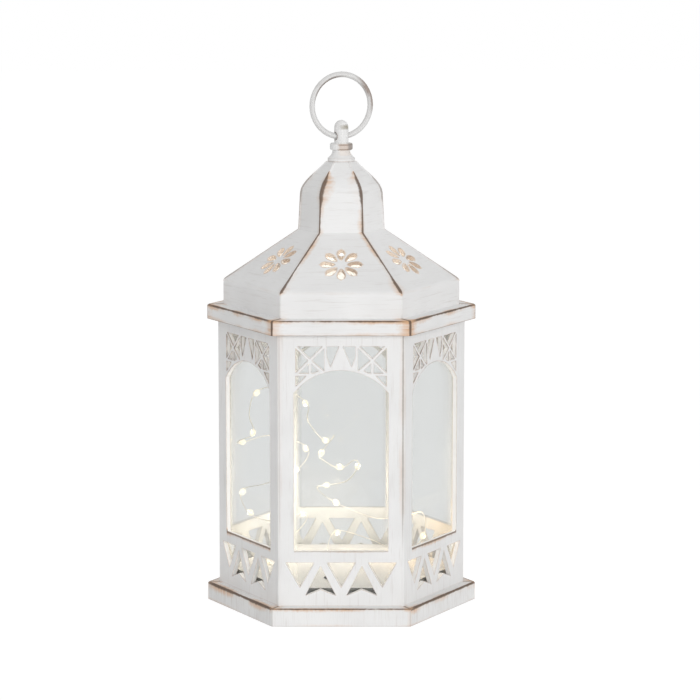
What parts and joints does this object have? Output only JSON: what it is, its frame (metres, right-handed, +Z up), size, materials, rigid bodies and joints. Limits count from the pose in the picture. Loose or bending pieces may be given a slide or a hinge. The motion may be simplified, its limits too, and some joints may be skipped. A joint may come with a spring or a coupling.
{
  "type": "led lantern",
  "caption": "Tall hexagonal tabletop lantern with arched pierced side windows, a domed roof with rosettes, a hanging ring and a wire light string inside, powered from a bay in the base.",
  "frame": {"origin": "centre of the underside", "axes": "+Z up, the front panel faces -Y, and two opposite corners of the hexagon lie on the X axis"},
  "size_m": [0.144, 0.125, 0.2846],
  "materials": {
    "whitewashed_plastic": "brushed white wash with rubbed brown edges",
    "clear_plastic": "clear",
    "silvered_metal": "silvered, with rubbed dark patches",
    "ivory_plastic": "satin",
    "plated_steel": "plated",
    "battery_wrap": "satin wrap",
    "black_rubber": "matt",
    "black_plastic": "satin",
    "board_green": "lacquered",
    "string_wire": "lacquered",
    "light_drop": "clear resin, lit"
  },
  "bodies": {
    "lantern": {"base_plinth": "whitewashed_plastic", "base_screw_1": "plated_steel", "base_screw_2": "plated_steel", "base_screw_3": "plated_steel", "battery_1": "battery_wrap", "battery_2": "battery_wrap", "battery_3": "battery_wrap", "battery_housing": "ivory_plastic", "chamber_floor": "ivory_plastic", "circuit_board": "board_green", "contact_plate_1": "plated_steel", "contact_plate_2": "plated_steel", "contact_plate_3": "plated_steel", "contact_spring_1": "plated_steel", "contact_spring_2": "plated_steel", "contact_spring_3": "plated_steel", "finial": "whitewashed_plastic", "finial_screw": "plated_steel", "grommet": "black_rubber", "light_drop_01": "light_drop", "light_drop_02": "light_drop", "light_drop_03": "light_drop", "light_drop_04": "light_drop", "light_drop_05": "light_drop", "light_drop_06": "light_drop", "light_drop_07": "light_drop", "light_drop_08": "light_drop", "light_drop_09": "light_drop", "light_drop_10": "light_drop", "light_drop_11": "light_drop", "light_drop_12": "light_drop", "light_drop_13": "light_drop", "light_drop_14": "light_drop", "light_drop_15": "light_drop", "light_drop_16": "light_drop", "light_drop_17": "light_drop", "light_drop_18": "light_drop", "light_drop_19": "light_drop", "light_drop_20": "light_drop", "pane_back": "clear_plastic", "pane_back_left": "clear_plastic", "pane_back_right": "clear_plastic", "pane_front": "clear_plastic", "pane_front_left": "clear_plastic", "pane_front_right": "clear_plastic", "power_switch": "plated_steel", "roof": "whitewashed_plastic", "string_wire": "string_wire", "wall_panel_back": "whitewashed_plastic", "wall_panel_back_left": "whitewashed_plastic", "wall_panel_back_right": "whitewashed_plastic", "wall_panel_front": "whitewashed_plastic", "wall_panel_front_left": "whitewashed_plastic", "wall_panel_front_right": "whitewashed_plastic"},
    "ring": {"carry_ring": "silvered_metal"},
    "cover": {"battery_cover": "ivory_plastic"},
    "knob": {"switch_knob": "black_plastic"}
  },
  "joints": [
    {"name": "ring_swing", "type": "hinge", "parent": "lantern", "child": "ring", "pos_m": [0, 0, 0.2503], "axis": [0.9336, 0.3584, 0], "range_deg": [-135, 135]},
    {"name": "cover_tip", "type": "hinge", "parent": "lantern", "child": "cover", "pos_m": [-0.0278, 0.006, 0.0012], "axis": [0, 1, 0], "range_deg": [0, 60]},
    {"name": "knob_slide", "type": "slide", "parent": "lantern", "child": "knob", "axis": [1, 0, 0], "range_m": [0, 0.004]}
  ]
}
